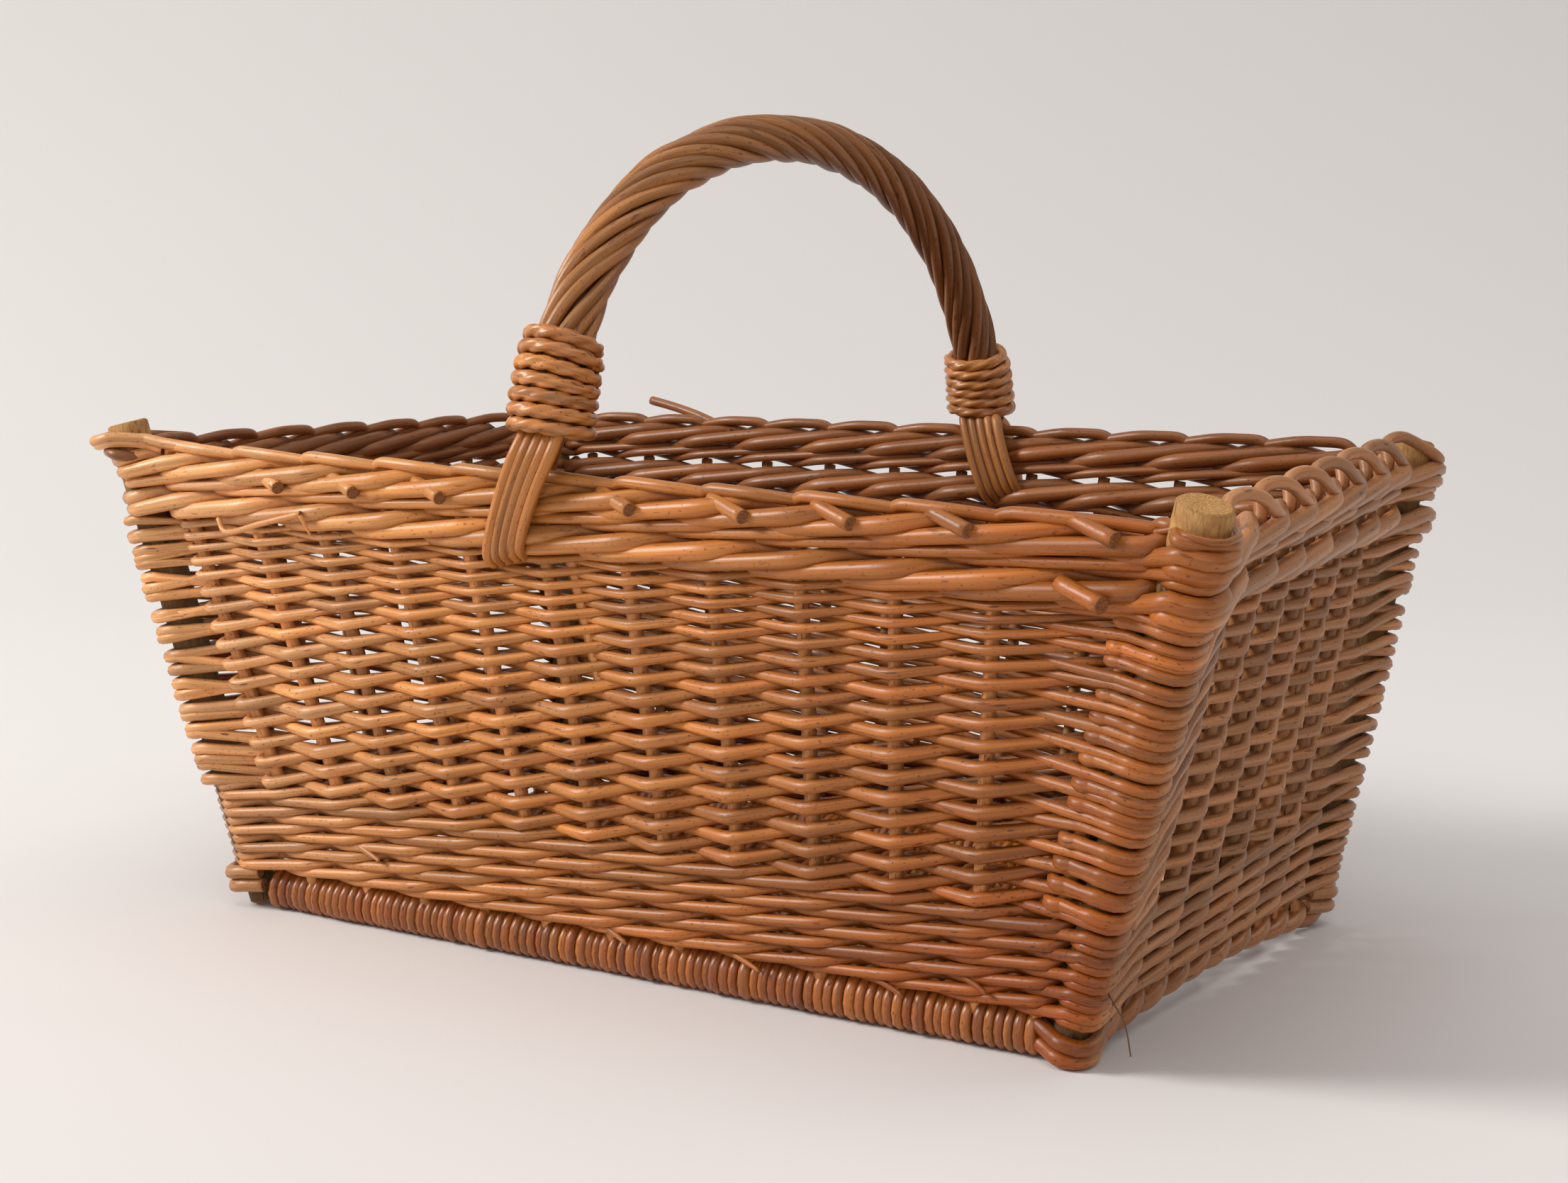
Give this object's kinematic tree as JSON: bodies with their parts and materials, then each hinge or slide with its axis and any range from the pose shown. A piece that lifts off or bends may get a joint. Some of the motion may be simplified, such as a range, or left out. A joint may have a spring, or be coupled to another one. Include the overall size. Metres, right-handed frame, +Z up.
{
  "type": "basket",
  "caption": "Rectangular woven willow shopping basket with flared sides, thick corner posts, a wrapped base edge and one fixed arched handle across the middle.",
  "frame": {"origin": "middle of the basket's overall box, on the surface it stands on", "axes": "+X along the basket's length to its right end, +Y from the front long side to the rear long side, +Z up"},
  "size_m": [0.5098, 0.3142, 0.3391],
  "materials": {
    "post": "thick peeled willow, fibrous ochre saw-cut ends, satin",
    "stake": "thin buff willow rod, satin",
    "siding": "plain-woven buff willow rods, golden brown, satin sheen",
    "wale": "three-rod waling in buff willow, golden brown, satin sheen",
    "border": "rod border in buff willow, honey brown, satin sheen",
    "base": "wrapped willow, darker red brown, satin sheen",
    "handle": "roped willow rods, golden brown, worn satin",
    "binding": "twisted willow binding, golden brown, satin sheen"
  },
  "bodies": {
    "root": {"base_weave": "base", "border": "border", "front_base_stick": "base", "front_handle_binding": "binding", "front_inner_handle_fan": "handle", "front_left_corner_post": "post", "front_outer_handle_fan": "handle", "front_right_corner_post": "post", "front_siding": "siding", "front_stake_01": "stake", "front_stake_02": "stake", "front_stake_03": "stake", "front_stake_04": "stake", "front_stake_05": "stake", "front_stake_06": "stake", "front_stake_07": "stake", "front_stake_08": "stake", "front_stake_09": "stake", "front_stake_10": "stake", "front_stake_11": "stake", "front_stake_12": "stake", "handle_bow": "handle", "handle_roping": "handle", "left_siding": "siding", "left_stake_01": "stake", "left_stake_02": "stake", "left_stake_03": "stake", "left_stake_04": "stake", "left_stake_05": "stake", "left_stake_06": "stake", "left_stake_07": "stake", "rear_base_stick": "base", "rear_handle_binding": "binding", "rear_inner_handle_fan": "handle", "rear_left_corner_post": "post", "rear_outer_handle_fan": "handle", "rear_right_corner_post": "post", "rear_siding": "siding", "rear_stake_01": "stake", "rear_stake_02": "stake", "rear_stake_03": "stake", "rear_stake_04": "stake", "rear_stake_05": "stake", "rear_stake_06": "stake", "rear_stake_07": "stake", "rear_stake_08": "stake", "rear_stake_09": "stake", "rear_stake_10": "stake", "rear_stake_11": "stake", "rear_stake_12": "stake", "right_siding": "siding", "right_stake_01": "stake", "right_stake_02": "stake", "right_stake_03": "stake", "right_stake_04": "stake", "right_stake_05": "stake", "right_stake_06": "stake", "right_stake_07": "stake", "top_wale": "wale", "upsett": "wale"}
  },
  "joints": []
}
